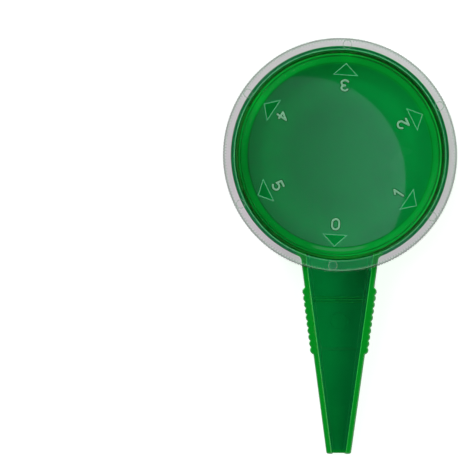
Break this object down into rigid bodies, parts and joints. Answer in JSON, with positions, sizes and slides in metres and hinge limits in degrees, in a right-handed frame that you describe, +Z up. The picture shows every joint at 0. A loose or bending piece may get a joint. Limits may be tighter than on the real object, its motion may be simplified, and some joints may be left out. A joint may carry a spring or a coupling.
{
  "type": "dial seed sower",
  "caption": "Hand seed sower: round seed dish with a tapered pouring chute, closed by a clear knurled dial that turns to choose how large a notch opens into the chute.",
  "frame": {"origin": "on the flat underside of the dish, below the dial's axis, with the sower lying on its back", "axes": "+Z up out of the dial's face, along the dial's axis; the chute points along -Y; +X to the right of the dial as it is read"},
  "size_m": [0.07, 0.1244, 0.0203],
  "materials": {
    "green_plastic": "glossy translucent green moulded plastic",
    "clear_plastic": "clear moulded plastic"
  },
  "bodies": {
    "sower": {"sower_body": "green_plastic"},
    "dial": {"dial": "clear_plastic"}
  },
  "joints": [
    {"name": "dial_turn", "type": "hinge", "parent": "sower", "child": "dial", "pos_m": [0, 0, 0.014], "axis": [0, 0, 1], "continuous": true}
  ]
}
